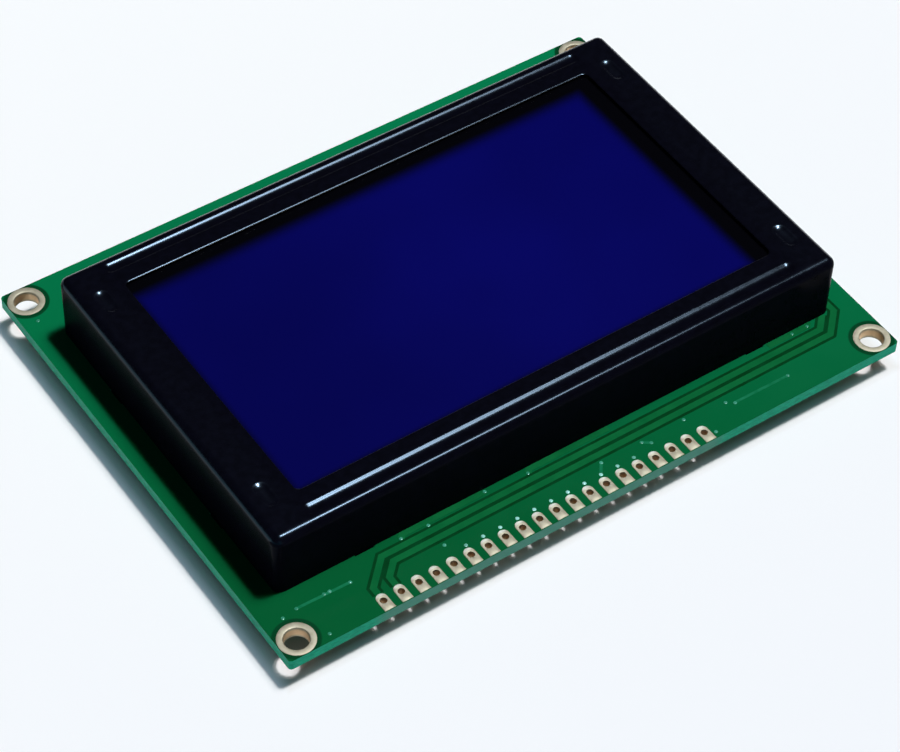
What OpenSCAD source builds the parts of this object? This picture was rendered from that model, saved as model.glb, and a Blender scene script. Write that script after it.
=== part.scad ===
// Graphic display module: circuit board, pressed bezel, display cell, backlight and driver chips.
// Millimetres, Z up. The header edge of the board faces -Y, and z = 0 is the plane the module lies on.

/* [Circuit board] */
// Width of the board along X
board_w = 93; // [91:0.5:110]
// Depth of the board along Y
board_d = 70; // [66:0.5:90]
// Thickness of the board
board_t = 1.6; // [0.8:0.1:2.4]
// Radius of the board's corners
board_r = 0.5; // [0.2:0.1:2]

/* [Plated holes] */
// Distance from a mounting hole's middle to the two board edges beside it
mount_inset = 2.5; // [2.5:0.1:2.9]
// Diameter of each mounting hole
mount_hole_d = 3.2; // [2.2:0.1:3.6]
// Diameter of the plated pad round each mounting hole
mount_pad_d = 4.9; // [4:0.1:5]
// Number of header holes
header_count = 20; // [4:1:22]
// Spacing of the header holes
header_pitch = 2.54; // [2:0.01:2.8]
// Distance from the board's left edge to the first header hole
header_start = 14.22; // [8:0.01:24]
// Distance from the board's front edge to the header holes
header_inset = 1.6; // [1.2:0.1:2.5]
// Diameter of each header hole
header_hole_d = 1; // [0.7:0.05:1.2]
// Width of each header pad
header_pad_w = 1.7; // [1.5:0.05:1.9]
// Distance from a header hole's middle to the round end of its pad
header_pad_reach = 1.15; // [1:0.05:1.4]
// Bare strip between the header pads and the board's front edge
header_pad_margin = 0.1; // [0.05:0.05:0.5]
// Thickness of the plating on the board's faces
pad_t = 0.06; // [0.03:0.01:0.15]
// Wall of the plated barrel in a hole
barrel_t = 0.1; // [0.05:0.01:0.15]

/* [Bezel] */
// Width of the bezel along X
bezel_w = 85; // [82:0.1:87]
// Depth of the bezel along Y
bezel_d = 51.6; // [50:0.1:56]
// Height of the bezel's face above the board
bezel_h = 9.7; // [8.4:0.1:12]
// Thickness of the bezel's sheet
sheet_t = 0.5; // [0.3:0.05:0.6]
// Outer radius of the bezel's bends and corners
bend_r = 1.2; // [0.8:0.1:1.4]
// Width of the window along X
window_w = 72; // [60:0.1:73]
// Depth of the window along Y
window_d = 40.4; // [30:0.1:42]
// Radius of the window's corners
window_r = 0.8; // [0.4:0.1:3]
// Length of each long bead pressed into the bezel's face
bead_l = 74.2; // [50:0.1:76]
// Width of the pressed beads
bead_w = 2.2; // [1.6:0.1:2.5]
// Depth of the pressed beads
bead_depth = 0.25; // [0.25:0.05:0.45]
// Distance from the bezel's long side to the middle of each long bead
bead_inset = 2.35; // [2.3:0.05:2.6]
// Length of each short bead at the bezel's ends
end_bead_l = 4.5; // [3:0.1:8]
// Distance from the bezel's end to the middle of each short bead
end_bead_inset = 3.1; // [2.4:0.1:3.4]
// Distance between the two short beads at one end
end_bead_pitch = 37.4; // [20:0.1:38]

/* [Bezel tabs] */
// Width of each tab
tab_w = 2.6; // [1.5:0.1:4]
// How far a tab stands out below the board
tab_drop = 1.6; // [0.8:0.1:2.4]
// Angle by which each tab is twisted below the board
tab_twist = 35; // [5:5:60]
// Spacing of the three tabs on each long side
tab_pitch_x = 30; // [20:0.5:36]
// Spacing of the two tabs on each short side
tab_pitch_y = 24; // [14:0.5:28]
// Clearance round each tab in its slot
tab_clear = 0.15; // [0.05:0.05:0.3]

/* [Display cell] */
// Thickness of each glass plate
glass_t = 1.1; // [0.5:0.05:1.2]
// Gap between the front glass and the bezel's walls
glass_clear = 0.4; // [0.3:0.1:1]
// Thickness of each polarizer
polarizer_t = 0.2; // [0.1:0.05:0.25]
// How far the polarizers reach past the window's edges
polarizer_lap = 1; // [0.5:0.1:1.3]
// Gap left between the pressed beads and the front glass
press_gap = 0.02; // [0.01:0.01:0.1]
// Width of each elastomer strip
strip_w = 2.2; // [1.4:0.1:2.4]
// Gap between an elastomer strip and the parts beside it
strip_clear = 0.3; // [0.1:0.05:0.5]
// Distance from each end of the front glass to the elastomer strips
strip_end = 3; // [1:0.5:10]

/* [Backlight] */
// Gap between the backlight frame and the bezel's end walls
frame_gap = 1.2; // [0.6:0.1:1.6]
// Wall of the backlight frame
frame_wall = 1.4; // [1:0.1:1.6]
// Floor of the backlight frame
frame_floor = 1; // [0.6:0.1:1.4]
// Thickness of the reflector and diffuser films
film_t = 0.2; // [0.1:0.05:0.3]
// Clearance round the parts inside the backlight frame
light_clear = 0.15; // [0.1:0.05:0.3]
// Thickness of the strip board that holds the LEDs
led_board_t = 0.8; // [0.8:0.1:1.2]
// Number of LEDs
led_count = 6; // [2:1:8]
// Width of each LED along the strip board
led_w = 3.5; // [2:0.1:4]
// Height of each LED
led_h = 2.8; // [1.5:0.1:3]
// How far each LED stands out from the strip board
led_depth = 1.4; // [0.8:0.1:1.5]
// Diameter of the two backlight pins
pin_d = 0.7; // [0.5:0.05:0.75]
// Spacing of the two backlight pins
pin_pitch = 33; // [31:0.5:36]
// Clearance round each pin in its holes
pin_clear = 0.1; // [0.05:0.05:0.2]
// How far the pins stand out below the board
pin_drop = 1.4; // [1:0.1:2]

/* [Driver chips] */
// Width of each driver chip's body along X
chip_w = 20; // [19.4:0.1:20.5]
// Depth of each driver chip's body along Y
chip_d = 14; // [13:0.1:16]
// Thickness of each driver chip's body
chip_t = 2.8; // [2.5:0.1:3.2]
// Gap between a driver chip's body and the board
chip_standoff = 0.3; // [0.1:0.05:0.5]
// Distance of the driver chips' row from the board's middle line
chip_y = 4; // [2:0.5:4]
// Gap between the leads of neighbouring driver chips
chip_gap = 3.8; // [2:0.1:4]
// How far the driver chips' leads reach out of the body
chip_reach = 1.6; // [1.3:0.1:1.7]
// Spacing of the driver chips' leads
chip_lead_pitch = 0.65; // [0.6:0.01:0.66]
// Number of leads on each long side of a driver chip
chip_long_leads = 30; // [10:2:30]
// Number of leads on each short side of a driver chip
chip_short_leads = 20; // [10:2:20]

/* [Small parts on the back] */
// Depth of the small-outline packages' bodies
so_d = 3.9; // [3:0.1:4.4]
// Thickness of the small-outline packages' bodies
so_t = 1.45; // [1.2:0.05:1.7]
// Gap between a small-outline body and the board
so_standoff = 0.15; // [0.1:0.05:0.3]
// Spacing of the small-outline packages' leads
so_pitch = 1.27; // [1:0.01:1.3]
// How far the small-outline leads reach out of the body
so_reach = 1.05; // [0.9:0.05:1.2]
// Gap between the driver chips' leads and the row of small-outline packages
so_row_gap = 3.4; // [2:0.1:4]
// Gap between the row of small-outline packages and the row of chip resistors
resistor_row_gap = 2.6; // [1:0.1:3]
// Length of the chip resistors and chip capacitors
passive_l = 2; // [1.5:0.1:2.4]
// Width of the chip resistors and chip capacitors
passive_w = 1.25; // [0.8:0.05:1.6]
// Thickness of the chip resistors
resistor_t = 0.55; // [0.4:0.05:0.7]
// Thickness of the chip capacitors
capacitor_t = 0.9; // [0.7:0.05:1.3]
// Number of chip resistors in their row
resistor_count = 8; // [2:1:8]
// Spacing of the chip resistors
resistor_pitch = 4; // [3:0.1:4.2]
// Length of the moulded capacitors
tank_l = 3.5; // [3:0.1:4]
// Width of the moulded capacitors
tank_w = 2.8; // [2.4:0.1:3.2]
// Thickness of the moulded capacitors
tank_t = 1.9; // [1.5:0.1:2.2]

/* [Hidden] */
$fn = 64;

// Levels, from the plane the module lies on upwards. It rests on the driver chips' flat tops.
board_z0 = chip_t + chip_standoff;
board_z1 = board_z0 + board_t;
bezel_z1 = board_z1 + bezel_h;
front_glass_z1 = bezel_z1 - sheet_t - bead_depth - press_gap;
front_glass_z0 = front_glass_z1 - glass_t;
rear_glass_z0 = front_glass_z0 - glass_t;
light_z1 = rear_glass_z0 - polarizer_t;
frame_floor_z = board_z1 + frame_floor;
guide_z0 = frame_floor_z + film_t;
guide_z1 = light_z1 - film_t;

// Mounting and header holes.
mount_x = board_w / 2 - mount_inset;
mount_y = board_d / 2 - mount_inset;
mount_bore_d = mount_hole_d + 2 * barrel_t;
header_x = header_start - board_w / 2;
header_y = header_inset - board_d / 2;
header_bore_d = header_hole_d + 2 * barrel_t;
header_pad_y0 = header_pad_margin - header_inset;
header_pad_y1 = header_pad_reach - header_pad_w / 2;

// Bezel beads. A bead's cross-section is an arc of this radius.
bead_y = bezel_d / 2 - bead_inset;
end_bead_x = bezel_w / 2 - end_bead_inset;
bead_r = (pow(bead_w / 2, 2) + pow(bead_depth, 2)) / (2 * bead_depth);

// Bezel tabs: how far each tab runs straight below the board before its twist.
tab_neck = 0.2;
tab_y = bezel_d / 2 - sheet_t / 2;
tab_x = bezel_w / 2 - sheet_t / 2;
long_tabs = [for (side = [-1, 1], i = [-1, 0, 1]) [i * tab_pitch_x, side * tab_y, 0]];
short_tabs = [for (side = [-1, 1], i = [-0.5, 0.5]) [side * tab_x, i * tab_pitch_y, 90]];
tab_places = concat(long_tabs, short_tabs);

// Display cell and backlight, set in from the bezel's walls.
front_glass_w = bezel_w - 2 * (sheet_t + glass_clear);
front_glass_d = bezel_d - 2 * (sheet_t + glass_clear);
rear_glass_d = 2 * (bead_y - strip_w / 2 - strip_clear);
polarizer_w = window_w + 2 * polarizer_lap;
polarizer_d = window_d + 2 * polarizer_lap;
strip_l = front_glass_w - 2 * strip_end;
frame_w = bezel_w - 2 * (sheet_t + frame_gap);
frame_d = rear_glass_d;
cavity_w = frame_w - 2 * frame_wall;
cavity_d = frame_d - 2 * frame_wall;
led_board_x = cavity_w / 2 - led_board_t;
led_x = led_board_x - led_depth;
led_row_l = cavity_d - 2 * light_clear;
led_step = led_row_l / led_count;
led_z = (guide_z0 + guide_z1) / 2;
pin_x = led_board_x + led_board_t / 2;
bare_tip = 0.3;
solder_h = pin_drop - bare_tip;
solder_spread = 0.65;
solder_waist = 0.22;
solder_tip = 0.06;

// Moulded packages: the straight band at the parting line, and the draft above and below it.
body_band = 0.3;
body_draft = 8;
mark_d = 1.2;
mark_inset = 1.8;
mark_depth = 0.1;
chip_step = chip_w + 2 * chip_reach + chip_gap;
chip_mid_z = chip_t / 2;
lead_t = 0.15;
chip_lead_w = 0.3;
chip_foot = 0.8;
so_lead_w = 0.42;
so_foot = 0.5;
so_end = 0.52;
so_mid_z = board_z0 - so_standoff - so_t / 2;

// Rows of small parts on the back of the board.
so_y = chip_y - chip_d / 2 - chip_reach - so_row_gap - so_d / 2;
amplifier_pins = 14;
amplifier_x = -20;
inverter_pins = 8;
inverter_x = 10;
tank_x = [20, 28];
tank_standoff = 0.12;
tank_terminal_w = 2.2;
tank_terminal_l = 0.8;
resistor_y = so_y - so_d / 2 - so_reach - resistor_row_gap;
resistor_x = -30;
bypass_row_gap = 1.5;
bypass_y = chip_y + chip_d / 2 + chip_reach + bypass_row_gap + passive_w;
terminal_l = 0.4;
terminal_t = 0.03;
capacitor_places = [
    [-chip_step, bypass_y],
    [0, bypass_y],
    [chip_step, bypass_y],
    [inverter_x, resistor_y],
    [tank_x[0], resistor_y]
];

// Rectangle with round corners, centred.
module rounded_rectangle(w, d, r) {
    square([w - 2 * r, d], center = true);
    square([w, d - 2 * r], center = true);
    for (x = [-1, 1], y = [-1, 1]) {
        translate([x * (w / 2 - r), y * (d / 2 - r)]) circle(r);
    }
}

// Flat rectangular piece between two levels.
module slab(w, d, z0, z1) {
    translate([0, 0, z0]) linear_extrude(z1 - z0) square([w, d], center = true);
}

// Round piece between two levels.
module round_bar(d, z0, z1) {
    translate([0, 0, z0]) cylinder(d = d, h = z1 - z0);
}

// Block with round upright corners and a round bend along its upper edges.
module bent_block(w, d, z0, z1, r) {
    intersection() {
        translate([0, 0, z0]) linear_extrude(z1 - z0) rounded_rectangle(w, d, r);
        bend_profile(w, d, z0, z1, r);
        rotate(90) bend_profile(d, w, z0, z1, r);
    }
}

// Bar along Y whose section has two round upper corners.
module bend_profile(w, l, z0, z1, r) {
    rotate([90, 0, 0]) translate([0, 0, -l / 2]) linear_extrude(l) {
        translate([-w / 2, z0]) square([w, z1 - z0 - r]);
        translate([r - w / 2, z0]) square([w - 2 * r, z1 - z0]);
        for (side = [-1, 1]) translate([side * (w / 2 - r), z1 - r]) circle(r);
    }
}

// Round-ended bar along X whose lower side presses a bead of bead_depth into the bezel's face.
// A grow of sheet_t gives the bead's inner side.
module bead_form(l, grow) {
    reach = l - bead_w;
    axis_z = bezel_z1 + bead_r - bead_depth;
    translate([-reach / 2, 0, axis_z]) rotate([0, 90, 0]) cylinder(r = bead_r + grow, h = reach);
    for (side = [-1, 1]) translate([side * reach / 2, 0, axis_z]) sphere(bead_r + grow);
}

// All the beads of the bezel's face.
module bead_forms(grow) {
    for (side = [-1, 1]) translate([0, side * bead_y, 0]) bead_form(bead_l, grow);
    for (x = [-1, 1], y = [-0.5, 0.5]) {
        translate([x * end_bead_x, y * end_bead_pitch, 0]) rotate(90) bead_form(end_bead_l, grow);
    }
}

// One tab: straight through the board, then twisted below it.
module tab() {
    z_twist = board_z0 - tab_neck;
    translate([0, 0, z_twist]) linear_extrude(board_z1 - z_twist) square([tab_w, sheet_t], center = true);
    translate([0, 0, z_twist]) mirror([0, 0, 1])
        linear_extrude(tab_drop - tab_neck, twist = tab_twist, slices = 6, $fn = 4)
            square([tab_w, sheet_t], center = true);
}

// Places its children at every tab.
module at_tabs() {
    for (place = tab_places) translate([place[0], place[1], 0]) rotate(place[2]) children();
}

// Places its children at every header hole.
module at_header() {
    for (i = [0 : header_count - 1]) translate([header_x + i * header_pitch, header_y, 0]) children();
}

// Places its children at the two backlight pins: side 1 is the anode, side -1 the cathode.
module at_pin(side) {
    translate([pin_x, side * pin_pitch / 2, 0]) children();
}

// Header pad seen from above: a round inner end with straight sides that run out to the board's edge.
module header_pad_outline() {
    translate([0, header_pad_y1]) circle(d = header_pad_w);
    translate([-header_pad_w / 2, header_pad_y0]) square([header_pad_w, header_pad_y1 - header_pad_y0]);
}

// Moulded package body that stands on z = 0, drafted both ways from its parting line.
module moulded_body(w, d, t) {
    half = (t - body_band) / 2;
    taper = half * tan(body_draft);
    shrink = [1 - 2 * taper / w, 1 - 2 * taper / d];
    translate([0, 0, half]) linear_extrude(body_band) square([w, d], center = true);
    for (side = [0, 1]) translate([0, 0, half + side * body_band]) mirror([0, 0, 1 - side])
        linear_extrude(half, scale = shrink, slices = 1, $fn = 4) square([w, d], center = true);
}

// One bent lead: out of the body along X at mid_z, up to the board, then flat along it.
module bent_lead(mid_z, reach, foot, width) {
    shoulder = (reach - foot) / 2;
    heel = reach - foot;
    rotate([90, 0, 0]) translate([0, 0, -width / 2]) linear_extrude(width) polygon([
        [0, mid_z - lead_t / 2],
        [shoulder + lead_t / 2, mid_z - lead_t / 2],
        [heel + lead_t / 2, board_z0 - lead_t],
        [reach, board_z0 - lead_t],
        [reach, board_z0],
        [heel - lead_t / 2, board_z0],
        [shoulder - lead_t / 2, mid_z + lead_t / 2],
        [0, mid_z + lead_t / 2]
    ]);
}

// Row of leads along Y, on the side of a body that faces +X.
module lead_row(count, pitch, edge, mid_z, reach, foot, width) {
    for (i = [0 : count - 1]) {
        translate([edge, (i - (count - 1) / 2) * pitch, 0]) bent_lead(mid_z, reach, foot, width);
    }
}

// Body of one driver chip, with a round mark by its first lead.
module driver_body(place) {
    color([0.08, 0.08, 0.09]) translate([place * chip_step, chip_y, 0]) difference() {
        moulded_body(chip_w, chip_d, chip_t);
        translate([mark_inset - chip_w / 2, mark_inset - chip_d / 2, -mark_depth])
            cylinder(d = mark_d, h = 2 * mark_depth);
    }
}

// Leads along one side of a driver chip.
module driver_lead_row(count, edge) {
    lead_row(count, chip_lead_pitch, edge, chip_mid_z, chip_reach, chip_foot, chip_lead_w);
}

// Leads of one driver chip, on all four sides.
module driver_leads(place) {
    color([0.75, 0.75, 0.77]) translate([place * chip_step, chip_y, 0]) {
        for (turn = [0, 180]) rotate(turn) driver_lead_row(chip_short_leads, chip_w / 2);
        for (turn = [90, 270]) rotate(turn) driver_lead_row(chip_long_leads, chip_d / 2);
    }
}

// Body of a small-outline package with the given number of pins.
module so_body(x, pins) {
    w = (pins / 2 - 1) * so_pitch + 2 * so_end;
    color([0.08, 0.08, 0.09]) translate([x, so_y, so_mid_z - so_t / 2]) moulded_body(w, so_d, so_t);
}

// Leads of a small-outline package, on its two long sides.
module so_leads(x, pins) {
    color([0.75, 0.75, 0.77]) translate([x, so_y, 0]) for (turn = [90, 270]) rotate(turn)
        lead_row(pins / 2, so_pitch, so_d / 2, so_mid_z, so_reach, so_foot, so_lead_w);
}

// Chip resistor or chip capacitor on the back: a ceramic block between two plated terminals.
module chip_passive(t) {
    body_l = passive_l - 2 * terminal_l;
    slab(body_l, passive_w - 2 * terminal_t, board_z0 - t + terminal_t, board_z0 - terminal_t);
    for (side = [-1, 1]) translate([side * (passive_l - terminal_l) / 2, 0, 0])
        slab(terminal_l, passive_w, board_z0 - t, board_z0);
}

// Terminal of a moulded capacitor: up the end of its body and folded under it.
module tank_terminal() {
    z_mid = board_z0 - tank_standoff - tank_t / 2;
    translate([tank_l / 2, -tank_terminal_w / 2, z_mid - body_band / 2])
        cube([tank_standoff, tank_terminal_w, board_z0 - z_mid + body_band / 2]);
    translate([tank_l / 2 - tank_terminal_l, -tank_terminal_w / 2, board_z0 - tank_standoff])
        cube([tank_terminal_l, tank_terminal_w, tank_standoff]);
}

module circuit_board() {
    color([0.03, 0.36, 0.2]) difference() {
        translate([0, 0, board_z0]) linear_extrude(board_t) rounded_rectangle(board_w, board_d, board_r);
        for (x = [-1, 1], y = [-1, 1]) translate([x * mount_x, y * mount_y, 0])
            round_bar(mount_bore_d, board_z0 - board_t, board_z1 + board_t);
        at_header() round_bar(header_bore_d, board_z0 - board_t, board_z1 + board_t);
        for (side = [-1, 1]) at_pin(side)
            round_bar(pin_d + 2 * pin_clear, board_z0 - board_t, board_z1 + board_t);
        at_tabs()
            slab(tab_w + 2 * tab_clear, sheet_t + 2 * tab_clear, board_z0 - board_t, board_z1 + board_t);
    }
}

module header_pads() {
    color([0.85, 0.76, 0.55]) at_header() difference() {
        union() {
            translate([0, 0, board_z1]) linear_extrude(pad_t) header_pad_outline();
            round_bar(header_bore_d, board_z0, board_z1);
            translate([0, 0, board_z0 - pad_t]) linear_extrude(pad_t) header_pad_outline();
        }
        round_bar(header_hole_d, board_z0 - board_t, board_z1 + board_t);
    }
}

// Mounting pads are counted from the front left corner, along the front edge and then along the back.
module mounting_pad(i) {
    x = (i % 2 == 1) ? -mount_x : mount_x;
    y = (i <= 2) ? -mount_y : mount_y;
    color([0.8, 0.7, 0.48]) translate([x, y, 0]) difference() {
        union() {
            round_bar(mount_pad_d, board_z1, board_z1 + pad_t);
            round_bar(mount_bore_d, board_z0, board_z1);
            round_bar(mount_pad_d, board_z0 - pad_t, board_z0);
        }
        round_bar(mount_hole_d, board_z0 - board_t, board_z1 + board_t);
    }
}

module bezel() {
    inner_z1 = bezel_z1 - sheet_t;
    inner_w = bezel_w - 2 * sheet_t;
    inner_d = bezel_d - 2 * sheet_t;
    color([0.04, 0.04, 0.05]) {
        difference() {
            union() {
                difference() {
                    bent_block(bezel_w, bezel_d, board_z1, bezel_z1, bend_r);
                    bent_block(inner_w, inner_d, board_z1 - sheet_t, inner_z1, bend_r - sheet_t);
                }
                intersection() {
                    bead_forms(sheet_t);
                    slab(inner_w - 2 * bend_r, inner_d, inner_z1 - 2 * bead_depth, bezel_z1 - sheet_t / 2);
                }
            }
            bead_forms(0);
            translate([0, 0, inner_z1 - sheet_t]) linear_extrude(3 * sheet_t)
                rounded_rectangle(window_w, window_d, window_r);
        }
        at_tabs() tab();
    }
}

module front_polarizer() {
    color([0.03, 0.03, 0.32]) slab(polarizer_w, polarizer_d, front_glass_z1, front_glass_z1 + polarizer_t);
}

module front_glass() {
    color([0.6, 0.75, 0.75, 0.5]) slab(front_glass_w, front_glass_d, front_glass_z0, front_glass_z1);
}

module rear_glass() {
    color([0.6, 0.75, 0.75, 0.5]) slab(front_glass_w, rear_glass_d, rear_glass_z0, front_glass_z0);
}

module rear_polarizer() {
    color([0.1, 0.1, 0.3]) slab(polarizer_w, polarizer_d, light_z1, rear_glass_z0);
}

module connector_strip(side) {
    color([0.35, 0.35, 0.36]) translate([0, side * bead_y, 0])
        slab(strip_l, strip_w, board_z1, front_glass_z0);
}

module front_connector_strip() {
    connector_strip(-1);
}

module back_connector_strip() {
    connector_strip(1);
}

module backlight_frame() {
    color([0.93, 0.93, 0.91]) difference() {
        slab(frame_w, frame_d, board_z1, light_z1);
        slab(cavity_w, cavity_d, frame_floor_z, light_z1 + frame_floor);
        for (side = [-1, 1]) at_pin(side) round_bar(pin_d + 2 * pin_clear, board_z0, light_z1);
    }
}

// The reflector and the light guide end short of the LEDs.
module lit_slab(z0, z1) {
    x0 = light_clear - cavity_w / 2;
    x1 = led_x - light_clear;
    translate([(x0 + x1) / 2, 0, 0]) slab(x1 - x0, cavity_d - 2 * light_clear, z0, z1);
}

module reflector_film() {
    color([0.95, 0.95, 0.95]) lit_slab(frame_floor_z, guide_z0);
}

module light_guide() {
    color([0.85, 0.9, 0.92, 0.5]) lit_slab(guide_z0, guide_z1);
}

module diffuser_film() {
    color([0.95, 0.96, 0.97])
        slab(cavity_w - 2 * light_clear, cavity_d - 2 * light_clear, guide_z1, light_z1);
}

module led_board() {
    color([0.9, 0.9, 0.86]) translate([pin_x, 0, 0]) slab(led_board_t, led_row_l, frame_floor_z, guide_z1);
}

module led(i) {
    y = (i - (led_count + 1) / 2) * led_step;
    color([0.97, 0.93, 0.7]) translate([led_x, y - led_w / 2, led_z - led_h / 2])
        cube([led_depth, led_w, led_h]);
}

module backlight_pin(side) {
    color([0.75, 0.75, 0.77]) at_pin(side) round_bar(pin_d, board_z0 - pin_drop, frame_floor_z);
}

module anode_pin() {
    backlight_pin(1);
}

module cathode_pin() {
    backlight_pin(-1);
}

// Solder joint: a cone with a hollow flank that climbs the pin.
module pin_solder(side) {
    pin_r = pin_d / 2;
    color([0.72, 0.72, 0.74]) at_pin(side) translate([0, 0, board_z0]) mirror([0, 0, 1])
        rotate_extrude() polygon([
            [pin_r, 0],
            [pin_r + solder_spread, 0],
            [pin_r + solder_waist, solder_h / 2],
            [pin_r + solder_tip, solder_h],
            [pin_r, solder_h]
        ]);
}

module anode_solder() {
    pin_solder(1);
}

module cathode_solder() {
    pin_solder(-1);
}

module left_column_driver() {
    driver_body(-1);
}

module row_driver() {
    driver_body(0);
}

module right_column_driver() {
    driver_body(1);
}

module left_column_driver_leads() {
    driver_leads(-1);
}

module row_driver_leads() {
    driver_leads(0);
}

module right_column_driver_leads() {
    driver_leads(1);
}

module bias_amplifier() {
    so_body(amplifier_x, amplifier_pins);
}

module bias_amplifier_leads() {
    so_leads(amplifier_x, amplifier_pins);
}

module voltage_inverter() {
    so_body(inverter_x, inverter_pins);
}

module voltage_inverter_leads() {
    so_leads(inverter_x, inverter_pins);
}

module moulded_capacitor(i) {
    color([0.75, 0.55, 0.2]) translate([tank_x[i - 1], so_y, 0]) {
        translate([0, 0, board_z0 - tank_standoff - tank_t]) moulded_body(tank_l, tank_w, tank_t);
        for (turn = [0, 180]) rotate(turn) tank_terminal();
    }
}

module chip_resistor(i) {
    color([0.12, 0.12, 0.13]) translate([resistor_x + (i - 1) * resistor_pitch, resistor_y, 0])
        rotate(90) chip_passive(resistor_t);
}

module chip_capacitor(i) {
    place = capacitor_places[i - 1];
    color([0.62, 0.5, 0.36]) translate([place[0], place[1], 0]) chip_passive(capacitor_t);
}

circuit_board();
header_pads();
for (i = [1 : 4]) {
    mounting_pad(i);
}
bezel();
front_polarizer();
front_glass();
rear_glass();
rear_polarizer();
front_connector_strip();
back_connector_strip();
backlight_frame();
reflector_film();
light_guide();
diffuser_film();
led_board();
for (i = [1 : led_count]) {
    led(i);
}
anode_pin();
cathode_pin();
anode_solder();
cathode_solder();
left_column_driver();
row_driver();
right_column_driver();
left_column_driver_leads();
row_driver_leads();
right_column_driver_leads();
bias_amplifier();
bias_amplifier_leads();
voltage_inverter();
voltage_inverter_leads();
for (i = [1 : len(tank_x)]) {
    moulded_capacitor(i);
}
for (i = [1 : resistor_count]) {
    chip_resistor(i);
}
for (i = [1 : len(capacitor_places)]) {
    chip_capacitor(i);
}
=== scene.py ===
# %% [markdown]
# # A graphic display module
# The module is a green circuit board with a black pressed-steel bezel on it, and a dark blue display
# behind the bezel's window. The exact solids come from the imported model, which is loaded first and never
# moved. This lesson then gives every piece its finish, rebuilds the pieces whose bends and rims the light
# picks out, and adds the tracks on the board.

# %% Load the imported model
from math import cos, hypot, pi, radians, sin, sqrt

import bmesh
import bpy
from mathutils import Matrix, Quaternion, Vector


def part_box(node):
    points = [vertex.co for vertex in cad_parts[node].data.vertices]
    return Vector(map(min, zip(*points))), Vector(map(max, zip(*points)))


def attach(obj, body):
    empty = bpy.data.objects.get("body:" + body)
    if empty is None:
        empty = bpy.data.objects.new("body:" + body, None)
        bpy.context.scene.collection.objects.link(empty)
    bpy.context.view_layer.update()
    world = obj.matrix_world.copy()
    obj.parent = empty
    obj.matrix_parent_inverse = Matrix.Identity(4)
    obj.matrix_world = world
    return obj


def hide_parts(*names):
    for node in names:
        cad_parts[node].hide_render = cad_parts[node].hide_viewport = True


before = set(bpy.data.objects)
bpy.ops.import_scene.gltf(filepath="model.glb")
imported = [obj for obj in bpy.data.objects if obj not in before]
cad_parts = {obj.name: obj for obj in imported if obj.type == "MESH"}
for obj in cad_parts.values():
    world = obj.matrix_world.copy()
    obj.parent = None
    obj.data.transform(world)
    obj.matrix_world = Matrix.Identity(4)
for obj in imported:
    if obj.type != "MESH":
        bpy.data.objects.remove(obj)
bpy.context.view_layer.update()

scene = bpy.context.scene

# %% [markdown]
# Blender works in metres, and a display module is drawn in millimetres. Every shape below is therefore
# built in millimetres and shrunk once, when its mesh becomes an object. The levels that the pieces have to
# meet are read from the loaded nodes, so the new pieces land at the levels of the old ones. The bezel's
# width and depth are written out, because the box of its node also holds the twisted tabs.

# %% Sizes taken from the nodes
MM = 0.001


def box_mm(node):
    """Lowest and highest corner of a node, in millimetres."""
    low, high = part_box(node)
    return low / MM, high / MM


board_low, board_high = box_mm("circuit_board")
board_top = board_high.z
board_bottom = board_low.z
bezel_x, bezel_y = 42.5, 25.8
bezel_top = box_mm("bezel")[1].z
print("board", board_high.x * 2, "x", board_high.y * 2, "top at", round(board_top, 3))
print("bezel", bezel_x * 2, "x", bezel_y * 2, "top at", round(bezel_top, 3))

# %% [markdown]
# The camera of the photograph stood in front of the module's left half, looked about 48 degrees down and
# was tilted a little about its own axis. Aiming by a track quaternion gives a level camera, and a small
# turn about the camera's own axis adds the tilt, so all three angles stay readable.

# %% Camera
CAMERA_EYE = Vector((-156.011, -215.083, 291.196))
CAMERA_AIM = Vector((-5.365, -8.131, 4.7))
CAMERA_ROLL = 2.18
CAMERA_LENS = 120.87

lens = bpy.data.cameras.new("camera")
lens.lens = CAMERA_LENS
lens.sensor_width = 36
camera = bpy.data.objects.new("camera", lens)
scene.collection.objects.link(camera)
level = (CAMERA_AIM - CAMERA_EYE).to_track_quat("-Z", "Y")
camera.rotation_mode = "QUATERNION"
camera.rotation_quaternion = level @ Quaternion((0, 0, 1), radians(CAMERA_ROLL))
camera.location = CAMERA_EYE * MM
scene.camera = camera
scene.view_settings.view_transform = "Standard"
print("camera", round((CAMERA_AIM - CAMERA_EYE).length), "mm from its aim")

# %% [markdown]
# Materials are small node trees. The helpers add one node each and fill its sockets: a plain number is set
# on the socket, and a socket of another node is linked to it. All patterns read Object coordinates, which
# are metres from the model's origin, so a pattern keeps its size on every piece.


# %% Node helpers
def fill(tree, item, inputs):
    """Fill a node's sockets: set a plain value, or link a socket of another node."""
    for key, value in inputs.items():
        if isinstance(value, bpy.types.NodeSocket):
            tree.links.new(value, item.inputs[key])
        else:
            item.inputs[key].default_value = value


def add_node(tree, kind, inputs=None, **settings):
    """Add a shader node, set its properties, then fill its sockets."""
    item = tree.nodes.new("ShaderNode" + kind)
    for key, value in settings.items():
        setattr(item, key, value)
    fill(tree, item, inputs or {})
    return item


def new_finish(name):
    """Empty material: its node tree, its shader and its Object coordinates."""
    finish = bpy.data.materials.new(name)
    finish.use_nodes = True
    tree = finish.node_tree
    place = add_node(tree, "TexCoord").outputs["Object"]
    return finish, tree, tree.nodes["Principled BSDF"], place


def rgb(colour):
    return (*colour, 1)


def noise(tree, place, size_mm, detail=3):
    """Cloudy pattern whose blots are about size_mm across."""
    values = {"Vector": place, "Scale": 1 / (size_mm * MM), "Detail": detail}
    return add_node(tree, "TexNoise", values).outputs["Fac"]


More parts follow.
